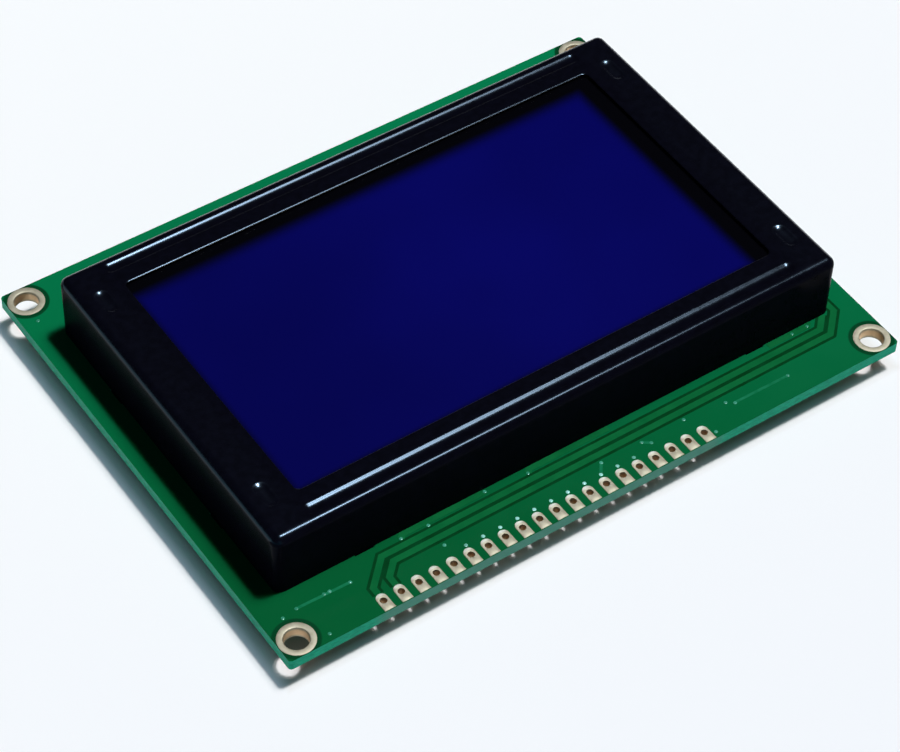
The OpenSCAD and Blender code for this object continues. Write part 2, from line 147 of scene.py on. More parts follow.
def ramp(tree, factor, *stops):
    """Colour ramp through (position, colour) stops."""
    item = add_node(tree, "ValToRGB", {"Fac": factor})
    band = item.color_ramp.elements
    while len(band) < len(stops):
        band.new(1)
    for element, (position, colour) in zip(band, stops):
        element.position = position
        element.color = rgb(colour)
    return item.outputs["Color"]


def span(tree, value, low, high, start=0.0, end=1.0, smooth=True):
    """Map a value from low..high to start..end, held at both ends."""
    kind = "SMOOTHSTEP" if smooth else "LINEAR"
    values = {"Value": value, "From Min": low, "From Max": high, "To Min": start, "To Max": end}
    return add_node(tree, "MapRange", values, interpolation_type=kind).outputs["Result"]


def blend(tree, factor, first, second, mode="MIX"):
    """Mix two colours; each is a socket or a plain colour."""
    item = add_node(tree, "Mix", data_type="RGBA", blend_type=mode)
    for socket, value in ((item.inputs[0], factor), (item.inputs[6], first), (item.inputs[7], second)):
        if isinstance(value, bpy.types.NodeSocket):
            tree.links.new(value, socket)
        else:
            socket.default_value = value if isinstance(value, (int, float)) else rgb(value)
    return item.outputs[2]


def axes(tree, place):
    """X, Y and Z of a position, by name."""
    return add_node(tree, "SeparateXYZ", {"Vector": place}).outputs


def compute(tree, operation, *values):
    """Result of arithmetic on numbers."""
    return add_node(tree, "Math", dict(enumerate(values)), operation=operation).outputs[0]


def combine(tree, operation, *values):
    """Result of arithmetic on vectors: a number for a length, a distance or a dot product."""
    item = add_node(tree, "VectorMath", dict(enumerate(values)), operation=operation)
    return item.outputs["Value" if operation in ("LENGTH", "DISTANCE", "DOT_PRODUCT") else "Vector"]


def emboss(tree, shader, height, depth_mm, strength=1.0):
    """Bump of the given depth on a shader."""
    values = {"Height": height, "Distance": depth_mm * MM, "Strength": strength}
    tree.links.new(add_node(tree, "Bump", values).outputs["Normal"], shader.inputs["Normal"])


print("node helpers ready")

# %% [markdown]
# The module lies on a white table under one strong lamp, high up and a little to the right, so its shadows
# are short and fall to the left. The lamp has a small bright core and a wide reflector that reaches
# further right, which gives each shadow a firm inner edge and a soft outer one. A weak panel in front and
# a painted room light keep the shadows from going quite black: the white table glows with a faint cool
# emission, though it is no lamp. This painted light fades under the board, by the distance from the
# board's outline, as the light of a room does under an edge that stands a few millimetres above the
# table. The floor is one large pale plane. Sun lamps suit a lamp that is far away compared with the size
# of the module, and energies that add up to about pi show a colour near the value it is written with.

# %% Floor and lamps
CORE_FROM, CORE_ENERGY, CORE_ANGLE = Vector((0.29, -0.045, 1)), 1.75, 4
WIDE_FROM, WIDE_ENERGY, WIDE_ANGLE = Vector((0.35, -0.045, 1)), 1.6, 14
PANEL_FROM, PANEL_WATTS, PANEL_SIZE = Vector((-0.3, -0.85, 0.38)), 0.4, 0.6
FLOOR_HALF = 3
FLOOR_TONES = ((0, (0.782, 0.735, 0.731)), (1, (0.829, 0.779, 0.752)))
# Painted room light: the table's emission, none under the board and brightest past its edge.
PAINTED_ROOM_LIGHT = ((0, (0, 0, 0)), (0.6, (0.035, 0.08, 0.088)), (1, (0.115, 0.175, 0.215)))
PAINTED_LIGHT_FROM, PAINTED_LIGHT_TO = -1.5, 1


def add_lamp(name, kind, source, energy, colour=(1, 1, 1)):
    """Lamp that shines on the module from the given direction."""
    light = bpy.data.lights.new(name, kind)
    light.energy = energy
    light.color = colour
    lamp = bpy.data.objects.new(name, light)
    lamp.rotation_mode = "QUATERNION"
    lamp.rotation_quaternion = source.to_track_quat("Z", "Y")
    lamp.location = source
    scene.collection.objects.link(lamp)
    return light


add_lamp("lamp_core", "SUN", CORE_FROM, CORE_ENERGY, (0.92, 0.97, 1)).angle = radians(CORE_ANGLE)
add_lamp("lamp_reflector", "SUN", WIDE_FROM, WIDE_ENERGY).angle = radians(WIDE_ANGLE)
add_lamp("front_panel", "AREA", PANEL_FROM, PANEL_WATTS, (0.8, 0.95, 1)).size = PANEL_SIZE

table_white, tree, shader, place = new_finish("table_white")
drift = compute(tree, "MULTIPLY_ADD", noise(tree, place, 90, 2), 0.04, axes(tree, place)["Y"])
half_board = (board_high.x * MM, board_high.y * MM, 0)
beyond = axes(tree, combine(tree, "SUBTRACT", combine(tree, "ABSOLUTE", place), half_board))
outside = compute(tree, "MAXIMUM", beyond["X"], beyond["Y"])
# The table's emission is painted room light, fading under the board.
painted_table_light = ramp(tree, span(tree, outside, PAINTED_LIGHT_FROM * MM, PAINTED_LIGHT_TO * MM, smooth=False), *PAINTED_ROOM_LIGHT)
fill(tree, shader, {"Base Color": ramp(tree, span(tree, drift, -0.1, 0.14), *FLOOR_TONES),
                    "Roughness": 0.9, "Specular IOR Level": 0.1,
                    "Emission Color": painted_table_light, "Emission Strength": 1})

bm = bmesh.new()
bmesh.ops.create_grid(bm, x_segments=1, y_segments=1, size=FLOOR_HALF)
mesh = bpy.data.meshes.new("floor")
bm.to_mesh(mesh)
bm.free()
mesh.materials.append(table_white)
floor = bpy.data.objects.new("floor", mesh)
scene.collection.objects.link(floor)
print("floor", 2 * FLOOR_HALF, "m wide, under", len(bpy.data.lights), "lamps")

# %% [markdown]
# The room behind the table is dark, which is why the bezel and the display stay almost black. The world is
# a ramp on the direction's height: pale at the horizon, where low views see the table run out, and nearly
# black above it, so that flat glossy faces mirror darkness and only bends and rims catch the lamp.

# %% World
room = bpy.data.worlds.new("room")
room.use_nodes = True
scene.world = room
tree = room.node_tree
direction = add_node(tree, "TexCoord").outputs["Generated"]
sky = ramp(tree, axes(tree, direction)["Z"], (0.03, (0.86, 0.9, 0.94)), (0.12, (0.006, 0.007, 0.012)))
fill(tree, tree.nodes["Background"], {"Color": sky})
print("world set, dark above the horizon")

# %% [markdown]
# Every new piece goes through one function: it shrinks the shape to metres, smooths its shading except
# across sharp corners, gives it its finish, hangs it on the root body and hides the solids it stands for.


# %% Turning a shape into a piece
def add_piece(name, bm, finish, replaced=(), sharp=35):
    """Make an object from a shape in millimetres and hang it on the root body."""
    bmesh.ops.scale(bm, vec=(MM, MM, MM), verts=bm.verts)
    mesh = bpy.data.meshes.new(name)
    bm.to_mesh(mesh)
    bm.free()
    mesh.shade_smooth()
    mesh.set_sharp_from_angle(angle=radians(sharp))
    mesh.materials.append(finish)
    piece = bpy.data.objects.new(name, mesh)
    scene.collection.objects.link(piece)
    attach(piece, "root")
    if replaced:
        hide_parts(*replaced)
    print(name, "has", len(mesh.polygons), "faces")
    return piece


def move(bm, verts, x=0, y=0, z=0):
    bmesh.ops.translate(bm, verts=verts, vec=(x, y, z))


def verts_of(geom):
    return [item for item in geom if isinstance(item, bmesh.types.BMVert)]


def round_edges(bm, edges, offset, segments):
    """Bevel edges to an even radius."""
    bmesh.ops.bevel(bm, geom=edges, offset=offset, offset_type="OFFSET", affect="EDGES", segments=segments,
                    profile=0.5, material=-1, clamp_overlap=True)


def dress(finish, *nodes):
    """Give loaded nodes a finish, through their material slots."""
    for name in nodes:
        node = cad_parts[name]
        if node.material_slots:
            for material_slot in node.material_slots:
                material_slot.material = finish
        else:
            node.data.materials.append(finish)
    print(finish.name, "on", len(nodes), "nodes")


# %% [markdown]
# The bezel's black is a thin baked enamel on steel: nearly black under the lamp. Its gleam along every
# bend gets a painted bluish tint, and a painted teal one on the left bend, which colours the reflections.
# A fine noise varies its gloss like that of any sprayed coat. The roughness sets how wide a gleam spreads
# and how fast it fades along a bend as the view turns away from the lamp, and it is a little higher at the
# short ends.

# %% Black enamel: colour and gloss
PAINT = ((0.35, (0.0018, 0.0018, 0.004)), (0.65, (0.0023, 0.0023, 0.0056)))
GLOSS = (0.157, 0.185)
END_FROM, END_TO, END_DULLER = 36.5, 38.5, 0.045
REFLECTION_TINT, LEFT_REFLECTION_TINT = (0.5, 0.73, 1), (0.02, 0.62, 1)
LEFT_FROM, LEFT_TO = -42, -41.2

black_paint, tree, shader, place = new_finish("black_paint")
parts = axes(tree, place)
coat = noise(tree, place, 1.1, 4)
duller = span(tree, compute(tree, "ABSOLUTE", parts["X"]), END_FROM * MM, END_TO * MM, 0, END_DULLER)
gloss = compute(tree, "ADD", span(tree, coat, 0.3, 0.7, *GLOSS), duller)
# Painted reflection colour: bluish on every gleam, teal on the left bend.
reflection_tint = blend(tree, span(tree, parts["X"], LEFT_FROM * MM, LEFT_TO * MM), LEFT_REFLECTION_TINT, REFLECTION_TINT)
fill(tree, shader, {"Base Color": ramp(tree, coat, *PAINT), "Roughness": gloss, "Specular Tint": reflection_tint})
print("enamel's colour and gloss ready")

# %% [markdown]
# The coat is full on the face and the upper half of the bends, and thin and dull on the walls, so the
# height sets how much the paint mirrors. It ends higher on the front, right and back bends and a little
# lower on the left one. It pools in the four short beads, where the distance to the line in a bead's
# middle raises the mirroring.

# %% Black enamel: how far the coat reaches
COAT_FULL, COAT_THIN = 0.58, 0.9
MIRROR_FULL, MIRROR_THIN, MIRROR_POOL = 0.24, 0.012, 0.7
FOLD_FROM, FOLD_TO = 1.7, 0.9
FAR_RISE, FRONT_RISE, LEFT_DROP = 0.4, 0.26, 0.15
POOL_FROM, POOL_TO = 0.9, 1.2
END_BEAD_X, END_BEAD_Y, END_BEAD_REACH = 39.4, 18.7, 1.15

x_in, x_out = (bezel_x - FOLD_FROM) * MM, (bezel_x - FOLD_TO) * MM
y_in, y_out = (bezel_y - FOLD_FROM) * MM, (bezel_y - FOLD_TO) * MM
right = span(tree, parts["X"], x_in, x_out, 0, FAR_RISE * MM)
back = span(tree, parts["Y"], y_in, y_out, 0, FAR_RISE * MM)
front = span(tree, parts["Y"], -y_out, -y_in, FRONT_RISE * MM, 0)
left = span(tree, parts["X"], -x_out, -x_in, -LEFT_DROP * MM, 0)
rise = compute(tree, "MAXIMUM", compute(tree, "MAXIMUM", right, back), front)
height = compute(tree, "SUBTRACT", parts["Z"], compute(tree, "ADD", rise, left))
thin, full = (bezel_top - COAT_THIN) * MM, (bezel_top - COAT_FULL) * MM
sprayed = span(tree, height, thin, full, MIRROR_THIN, MIRROR_FULL)
bead_middle = (END_BEAD_X * MM, END_BEAD_Y * MM, 0)
reach = combine(tree, "SUBTRACT", combine(tree, "ABSOLUTE", place), bead_middle)
reach = combine(tree, "SUBTRACT", combine(tree, "ABSOLUTE", reach), (0, END_BEAD_REACH * MM, 0))
reach = combine(tree, "MULTIPLY", combine(tree, "MAXIMUM", reach, (0, 0, 0)), (1, 1, 0))
pooled = span(tree, combine(tree, "LENGTH", reach), POOL_FROM * MM, POOL_TO * MM, MIRROR_POOL, 0)
fill(tree, shader, {"Specular IOR Level": compute(tree, "MAXIMUM", sprayed, pooled)})
print("enamel's coat ready")

# %% [markdown]
# The bezel is one sheet of steel, pressed and folded. Its face is built as a grid whose lines lie closer
# together where the sheet curves: across the pressed beads, round their ends, along the window's corners
# and beside its rim. Other lines mark the tabs and divide the flat parts. Pushing grid points down is then
# all that a bead needs, which keeps its round bottom and its soft shoulders truly smooth.

# %% Bezel: lines of the grid
SHEET = 0.5
BEND = 1.2
WINDOW_X, WINDOW_Y, WINDOW_R = 36.0, 20.2, 0.8
CORNER_STEPS = 8
TAB_HALF = 1.3
TAB_X = (-30, 0, 30)
TAB_Y = (-12, 12)
LINE_INSET = BEND + 0.05
BEAD_HALF = 1.1
LONG_BEAD_Y, LONG_BEAD_REACH = 23.45, 36.0
FLAT_X, FLAT_Y = [37.6], [18.5, 21.7]


def even(start, stop, count):
    return [start + (stop - start) * i / count for i in range(count + 1)]


def both_sides(values):
    return sorted({round(side * v, 6) for v in values for side in (-1, 1)})


turns = [i * pi / 2 / CORNER_STEPS for i in range(CORNER_STEPS + 1)]
corner_x = [WINDOW_X - WINDOW_R + WINDOW_R * sin(t) for t in turns]
corner_y = [WINDOW_Y - WINDOW_R + WINDOW_R * cos(t) for t in turns]
tab_x = [TAB_HALF, TAB_X[-1] - TAB_HALF, TAB_X[-1] + TAB_HALF]
tab_y = [TAB_Y[-1] - TAB_HALF, TAB_Y[-1] + TAB_HALF]
long_ends = even(LONG_BEAD_REACH + 0.1, LONG_BEAD_REACH + BEAD_HALF, 10)
across_short = even(END_BEAD_X - BEAD_HALF, END_BEAD_X + BEAD_HALF, 20)
short_end = END_BEAD_Y - END_BEAD_REACH
short_ends = even(short_end - BEAD_HALF, short_end, 10)
across_long = even(LONG_BEAD_Y - BEAD_HALF, LONG_BEAD_Y + BEAD_HALF, 22)
beside_rim = even(WINDOW_Y + 0.1, WINDOW_Y + 0.3, 2) + even(WINDOW_Y + 0.45, WINDOW_Y + 0.75, 2)
x_lines = both_sides(tab_x + corner_x + long_ends + FLAT_X + across_short + [bezel_x - LINE_INSET, bezel_x])
y_lines = both_sides(tab_y + short_ends + FLAT_Y + corner_y + beside_rim + across_long + [bezel_y])
print(len(x_lines), "by", len(y_lines), "grid lines")

# %% Bezel: face with its window
bm = bmesh.new()
bmesh.ops.create_grid(bm, x_segments=len(x_lines) - 1, y_segments=len(y_lines) - 1, size=1)
crossing = {}
for vert in bm.verts:
    column = round((vert.co.x + 1) / 2 * (len(x_lines) - 1))
    row = round((vert.co.y + 1) / 2 * (len(y_lines) - 1))
    vert.co = (x_lines[column], y_lines[row], bezel_top)
    crossing[round(vert.co.x, 3), round(vert.co.y, 3)] = vert


def outside_window(vert):
    """Distance from a point to the window's rounded outline, negative inside it."""
    over_x = abs(vert.co.x) - (WINDOW_X - WINDOW_R)
    over_y = abs(vert.co.y) - (WINDOW_Y - WINDOW_R)
    return hypot(max(over_x, 0), max(over_y, 0)) + min(max(over_x, over_y), 0) - WINDOW_R


for side_x in (-1, 1):
    for side_y in (-1, 1):
        arc = [crossing[round(side_x * x, 3), round(side_y * y, 3)] for x, y in zip(corner_x, corner_y)]
        for pair in zip(arc, arc[1:]):
            bmesh.ops.connect_verts(bm, verts=pair)
inside = [face for face in bm.faces if all(outside_window(v) < 1e-4 for v in face.verts)]
bmesh.ops.delete(bm, geom=inside, context="FACES")
print(len(bm.faces), "faces round the window")

# %% [markdown]
# A bead is pressed by a round-ended tool, so its depth depends only on the distance to a short line in its
# middle. Near the line the sheet follows the tool's radius, and at the shoulder it turns back into the
# flat face over another radius. The two arcs meet at the same slope, so the highlight runs through. The
# punch that cuts the window drags the sheet down a little along its rim, over a few tenths of a millimetre.

# %% Bezel: pressed beads and rolled rim
BEAD_DEPTH, SHOULDER_R = 0.228, 0.88
BEAD_R = (BEAD_HALF ** 2 + BEAD_DEPTH ** 2) / (2 * BEAD_DEPTH) - SHOULDER_R
ARC_END = BEAD_HALF * BEAD_R / (BEAD_R + SHOULDER_R)
ROLL_W, ROLL_DEPTH = 0.3, 0.075


def bead_sink(distance):
    """How far the sheet sinks at this distance from a bead's middle line."""
    if distance >= BEAD_HALF:
        return 0
    if distance > ARC_END:
        return SHOULDER_R - sqrt(SHOULDER_R ** 2 - (BEAD_HALF - distance) ** 2)
    return BEAD_DEPTH - BEAD_R + sqrt(BEAD_R ** 2 - distance ** 2)


for vert in bm.verts:
    x, y = abs(vert.co.x), abs(vert.co.y)
    to_long = hypot(max(x - LONG_BEAD_REACH, 0), y - LONG_BEAD_Y)
    to_end = hypot(x - END_BEAD_X, max(abs(y - END_BEAD_Y) - END_BEAD_REACH, 0))
    past_rim = max(outside_window(vert), 0) / ROLL_W
    vert.co.z -= bead_sink(min(to_long, to_end)) + ROLL_DEPTH * max(1 - past_rim, 0) ** 2
print("beads pressed", BEAD_DEPTH, "mm deep")

# %% [markdown]
# The walls come from extruding the face's outer edge downwards. A bevel with an even radius along the top
# and the upright corners is the fold of the sheet, and solidify gives the sheet its thickness. The walls'
# first row is just taller than the bevel, so the fold ends cleanly and the walls stay flat.


# %% Bezel: walls, folds and thickness
def on_rim(vert):
    return abs(abs(vert.co.x) - bezel_x) < 1e-4 or abs(abs(vert.co.y) - bezel_y) < 1e-4


def at_corner(vert):
    return abs(abs(vert.co.x) - bezel_x) < 1e-4 and abs(abs(vert.co.y) - bezel_y) < 1e-4


folds = [edge for edge in bm.edges if edge.is_boundary and all(on_rim(v) for v in edge.verts)]
lower = folds
for drop in (LINE_INSET, bezel_top - board_top - LINE_INSET):
    fresh = verts_of(bmesh.ops.extrude_edge_only(bm, edges=lower)["geom"])
    move(bm, fresh, z=-drop)
    lower = [edge for edge in bm.edges if edge.is_boundary and all(v in fresh for v in edge.verts)]
uprights = [edge for edge in bm.edges if all(at_corner(v) for v in edge.verts)]
bmesh.ops.recalc_face_normals(bm, faces=bm.faces)
round_edges(bm, folds + uprights, BEND, 8)
bmesh.ops.recalc_face_normals(bm, faces=bm.faces)
bmesh.ops.solidify(bm, geom=bm.faces[:], thickness=SHEET)
print("walls", round(bezel_top - board_top, 2), "mm high;", len(bm.faces), "faces in the folded sheet")

# %% [markdown]
# Ten tabs hold the bezel: each runs through a slot in the board and is twisted below it. The grid's tab
# lines left one face for each tab on the walls' lower edge, so a tab is that face extruded straight
# through the board and then in short steps, each turned a little further.

# %% Bezel: twisted tabs
TAB_NECK, TAB_DROP, TAB_TWIST = 0.2, 1.6, 35
TWIST_STEPS = 6


def extrude_face(bm, face, drop):
    """Extrude one face downwards and give the face at its end."""
    grown = bmesh.ops.extrude_discrete_faces(bm, faces=[face])["faces"][0]
    move(bm, grown.verts, z=-drop)
    return grown


tab_feet = []
for face in bm.faces:
    spot = face.calc_center_median()
    if abs(spot.z - board_top) > 1e-3 or abs(face.normal.z) < 0.9:
        continue
    along_x = abs(abs(spot.y) - bezel_y + SHEET / 2) < 0.02 and any(abs(spot.x - x) < 0.02 for x in TAB_X)
    along_y = abs(abs(spot.x) - bezel_x + SHEET / 2) < 0.02 and any(abs(spot.y - y) < 0.02 for y in TAB_Y)
    if along_x or along_y:
        tab_feet.append(face)
for face in tab_feet:
    middle = face.calc_center_median()
    tip = extrude_face(bm, face, board_top - board_bottom + TAB_NECK)
    for _ in range(TWIST_STEPS):
        tip = extrude_face(bm, tip, (TAB_DROP - TAB_NECK) / TWIST_STEPS)
        turn = Matrix.Rotation(radians(-TAB_TWIST / TWIST_STEPS), 3, "Z")
        bmesh.ops.rotate(bm, verts=tip.verts, cent=middle, matrix=turn)
print(len(tab_feet), "tabs twisted by", TAB_TWIST, "degrees")

# %% [markdown]
# The window's upper edge is rounded last, so that it catches the lamp as a thin line.

# %% Bezel: window rim
RIM_ROUND = 0.2

rim = [edge for edge in bm.edges
       if all(abs(outside_window(v)) < 1e-3 and v.co.z > bezel_top - SHEET / 2 for v in edge.verts)]
round_edges(bm, rim, RIM_ROUND, 5)
add_piece("pressed_bezel", bm, black_paint, ["bezel"])

# %% [markdown]
# The display's face is a polarizer film on glass. Unlit, it is a deep blue field. A black painted shade
# fades in softly at the window's edge, the bezel's shade on the layer below the film, wider at the back
# and right because the field lies deeper than the film. Each edge is a ramp along one axis of the Object
# coordinates, a smooth maximum joins the four and rounds the corners, a slow noise clouds the blue, and
# distance lifts it a little in the middle.

# %% Display face
FIELD_EDGES = (("X", -1, 34.74, 1.8), ("X", 1, 31.6, 2.45), ("Y", -1, 19.05, 1.4), ("Y", 1, 16.1, 2.8))
CORNER_BLEND = 0.4
FIELD_BLUES = ((0.002, 0.002, 0.088), (0.0022, 0.0022, 0.118))
RIM_SHADE_BLACK = (0.001, 0.001, 0.002)
LIFT_MIDDLE, LIFT_FROM, LIFT_TO = (3 * MM, -5 * MM, 0), 2, 28

display_face, tree, shader, place = new_finish("display_face")
parts = axes(tree, place)
shade_reach = 0.0
for axis, side, full, fade in FIELD_EDGES:
    edge = span(tree, parts[axis], side * full * MM, side * (full + fade) * MM, smooth=False)
    shade_reach = compute(tree, "SMOOTH_MAX", shade_reach, edge, CORNER_BLEND)
along = combine(tree, "DOT_PRODUCT", place, (1, 1, 0))
field = blend(tree, span(tree, along, -0.06, 0.06), *FIELD_BLUES)
cloud = noise(tree, place, 26, 2)
clouded = blend(tree, span(tree, cloud, 0.3, 0.7), (0.85, 0.85, 0.85), (1, 1, 1))
field = blend(tree, 1.0, field, clouded, "MULTIPLY")
off_middle = combine(tree, "DISTANCE", combine(tree, "MULTIPLY", place, (1, 1, 0)), LIFT_MIDDLE)
field = blend(tree, span(tree, off_middle, LIFT_FROM * MM, LIFT_TO * MM, 0.2, 0), field, field, "ADD")
# Black painted shade of the bezel along the window's edge.
rim_shaded = blend(tree, span(tree, shade_reach, 0, 1), field, RIM_SHADE_BLACK)
fill(tree, shader, {"Base Color": rim_shaded, "Roughness": 0.12, "Specular IOR Level": 0.35})
dress(display_face, "front_polarizer")

# %% [markdown]
# The board is glass-fibre laminate under green solder mask. The mask is a little darker towards the front
# left and lighter towards the back right, and the sawn edges show the pale laminate, greyer in front of
# the header. One material serves the whole board: the surface normal tells faces from edges, distance
# from the hole's middle draws the darker ring that the mask leaves round each mounting pad, and two
# noises cloud the colour.

# %% Board finish
MASK_GREENS = ((0.001, 0.098, 0.028), (0.001, 0.135, 0.046), (0.001, 0.19, 0.07))
MASK_DARK = (0.0012, 0.05, 0.016)
EDGE_TEAL = (0.016, 0.4, 0.235)
EDGE_GREY, GREY_SHARE = (0.1, 0.27, 0.21), 0.85
HEADER_X, HEADER_HALF, HEADER_FADE = -8.15, 24, 3
FRONT_FROM, FRONT_TO = -34.9, -34
MOUNT_X, MOUNT_Y = 44.0, 32.5
RING_R = 3.0

green_board, tree, shader, place = new_finish("green_board")
# The mask's green is darker towards the front left and lighter towards the back right.
tilt = combine(tree, "DOT_PRODUCT", place, (0.42, 1, 0))
cloud = noise(tree, place, 7, 3)
wander = compute(tree, "MULTIPLY_ADD", cloud, 0.012, tilt)
mask = ramp(tree, span(tree, wander, -0.032, 0.05, smooth=False), *zip((0, 0.35, 1), MASK_GREENS))
flat = combine(tree, "MULTIPLY", combine(tree, "ABSOLUTE", place), (1, 1, 0))
reach = combine(tree, "DISTANCE", flat, (MOUNT_X * MM, MOUNT_Y * MM, 0))
ring = span(tree, reach, (RING_R - 0.1) * MM, (RING_R + 0.15) * MM, 1, 0)
mask = blend(tree, ring, mask, MASK_DARK)
grain_place = add_node(tree, "Mapping", {"Vector": place, "Scale": (0.15, 0.15, 1)}).outputs[0]
ply = noise(tree, grain_place, 0.12, 2)
edge = blend(tree, span(tree, ply, 0.35, 0.65), EDGE_TEAL, tuple(0.72 * v for v in EDGE_TEAL))
parts = axes(tree, place)
off_header = compute(tree, "ABSOLUTE", compute(tree, "SUBTRACT", parts["X"], HEADER_X * MM))
beside = span(tree, off_header, HEADER_HALF * MM, (HEADER_HALF + HEADER_FADE) * MM, GREY_SHARE, 0)
before = span(tree, parts["Y"], FRONT_FROM * MM, FRONT_TO * MM, 1, 0)
edge = blend(tree, compute(tree, "MULTIPLY", beside, before), edge, EDGE_GREY)
upright = axes(tree, add_node(tree, "NewGeometry").outputs["Normal"])["Z"]
level_face = compute(tree, "ABSOLUTE", upright)
fill(tree, shader, {"Base Color": blend(tree, span(tree, level_face, 0.4, 0.6), edge, mask),
                    "Roughness": span(tree, cloud, 0.3, 0.7, 0.18, 0.23),
                    "Specular IOR Level": span(tree, level_face, 0.4, 0.6, 0.02, 0.2)})
emboss(tree, shader, noise(tree, place, 0.45, 2), 0.002)
dress(green_board, "circuit_board")

# %% [markdown]
# Tracks are strips of copper under the mask: the mask is lighter on them and dark in the gaps beside them.
# A track is drawn as a line of edges, raised into a thin upright ribbon, and thickened sideways by a
# Solidify modifier with even offset, which keeps the width through each 45 degree bend. The dark gap is a
# wider and lower strip on the same line.


# %% Track finishes
def masked(name, dark, light, size_mm, roughness):
    """Cloudy green of the mask over a track or a gap."""
    finish, tree, shader, place = new_finish(name)
    shade = ramp(tree, noise(tree, place, size_mm, 3), (0.3, dark), (0.7, light))
    fill(tree, shader, {"Base Color": shade, "Roughness": roughness, "Specular IOR Level": 0.2})
    emboss(tree, shader, noise(tree, place, 0.45, 2), 0.002)
    return finish


track_green = masked("track_green", (0.002, 0.108, 0.03), (0.004, 0.13, 0.037), 3, 0.2)
gap_green = masked("gap_green", (0.0006, 0.04, 0.009), (0.001, 0.052, 0.014), 2, 0.2)
thin_green = masked("thin_green", (0.003, 0.145, 0.056), (0.009, 0.19, 0.085), 1.2, 0.25)
print("track finishes ready")

# %% Tracks
PAD_X0, PAD_PITCH, PAD_Y, PAD_COUNT = -32.28, 2.54, -33.4, 20
PAD_TIP = PAD_Y + 1.1
TRACK_W, GAP_W, THIN_W = 0.85, 1.62, 0.4
TRACK_H, GAP_H = 0.035, 0.012
SUNK = 0.05


def draw_line(bm, points, base):
    """Line of edges through the points, by extruding one vertex from point to point."""
    last = bm.verts.new((*points[0], base))
    for here, there in zip(points, points[1:]):
        grown = bmesh.ops.extrude_vert_indiv(bm, verts=[last])["verts"]
        move(bm, grown, there[0] - here[0], there[1] - here[1])
        last = grown[0]


def add_strips(name, lines, width, height, finish, base=board_top):
    """Strips of one width along several lines, sunk a little into the board."""
    bm = bmesh.new()
    up = 1 if base == board_top else -1
    for points in lines:
        draw_line(bm, points, base - up * SUNK)
    raised = bmesh.ops.extrude_edge_only(bm, edges=bm.edges[:])["geom"]
    move(bm, verts_of(raised), z=up * (SUNK + height))
    strips = add_piece(name, bm, finish)
    strips.data.shade_flat()
    wide = strips.modifiers.new("width", "SOLIDIFY")
    wide.thickness = width * MM
    wide.offset = 0
    wide.use_even_offset = True


first_pad = PAD_X0
second_pad = PAD_X0 + PAD_PITCH
front_wall = -bezel_y
upper_track = [(first_pad, PAD_TIP), (first_pad, -31.18), (-28.8, -27.7), (39.3, -27.7),
               (41.2, front_wall)]
lower_track = [(second_pad, PAD_TIP), (second_pad, -30.84), (-27.95, -29.05), (39.95, -29.05),
               (42.95, -26.05), (42.95, -18.0)]
wall_tracks = [[(-25.3, -26.7), (-24.8, -26.2), (-12.9, -26.2)],
               [(-6.4, -26.7), (-5.9, -26.2), (6.3, -26.2)],
               [(31.8, -26.3), (38.3, -26.3), (38.75, front_wall)]]
thin_tracks = [[(-41.6, -28.7), (-34.1, -28.9)], [(22.3, -31.55), (30.8, -31.65)],
               [(2.2, -30.3), (1.04, -31.85)], [(8.4, -30.4), (9.4, -31.1)]]
add_strips("upper_gap", [upper_track], GAP_W, GAP_H, gap_green)
add_strips("lower_gap", [lower_track], GAP_W, GAP_H * 0.6, gap_green)
add_strips("tracks", [upper_track, lower_track] + wall_tracks, TRACK_W, TRACK_H, track_green)
add_strips("thin_tracks", thin_tracks, THIN_W, TRACK_H * 0.6, thin_green)

# %% [markdown]
# On the back, tracks lead from the header to the chips. Eight of them form a bus: each runs from its pad to
# a level of its own, along it, and up a lane between the parts. Levels and lanes keep the order of the
# pads, so no two tracks cross. Short tracks join neighbouring parts, and two wider ones feed the pins of
# the backlight.

# %% Tracks on the back
BACK_W, FEED_W, BACK_H = 0.4, 0.8, 0.03
TURN = 0.5
LADDER_Y, DRIVER_Y = -19.0, -4.75
pad_xs = [PAD_X0 + PAD_PITCH * i for i in range(PAD_COUNT)]
stub_ends = [(pad_xs[0], -28.5), (pad_xs[1], -29.0), (pad_xs[3], -24.0), (pad_xs[4], -23.0),
             (pad_xs[5], -22.0)]

back_tracks = [[(x, PAD_TIP), (x, y)] for x, y in stub_ends]
for count, start in enumerate(pad_xs[6:14]):
    level, lane = -27.4 - 0.6 * count, 2.1 + 0.7 * count
    back_tracks.append([(start, PAD_TIP), (start, level - TURN), (start + TURN, level),
                        (lane - TURN, level), (lane, level + TURN), (lane, DRIVER_Y)])
for y in even(-2, 9.7, 9):
    back_tracks += [[(side * 15.25, y), (side * 11.75, y)] for side in (-1, 1)]
back_tracks += [[(x, -6.85), (x, DRIVER_Y)] for x in even(-23.81, -18.73, 4)]
back_tracks += [[(x, 14.6), (x, 12.7)] for x in (-27.8, -26.2, -0.8, 0.8, 26.2, 27.8)]
back_tracks += [[(x, -16.6), (x, LADDER_Y + BACK_W / 2)] for x in range(-30, 0, 4)]
back_tracks.append([(-30.2, LADDER_Y), (-1.8, LADDER_Y)])
back_tracks.append([(pad_xs[2], PAD_TIP), (pad_xs[2], LADDER_Y - BACK_W / 2)])
feeds = [[(pad_xs[18], PAD_TIP), (pad_xs[18], -30.2), (14.64, -29), (36.2, -29), (39, -26.2), (39, -17.4)],
         [(pad_xs[19], PAD_TIP), (pad_xs[19], -31.2), (17.18, -30), (36.9, -30), (40.7, -26.2),
          (40.7, 15.2), (39.6, 16.3)]]
add_strips("back_tracks", back_tracks, BACK_W, BACK_H, thin_green, board_bottom)
add_strips("back_feeds", feeds, FEED_W, BACK_H, thin_green, board_bottom)

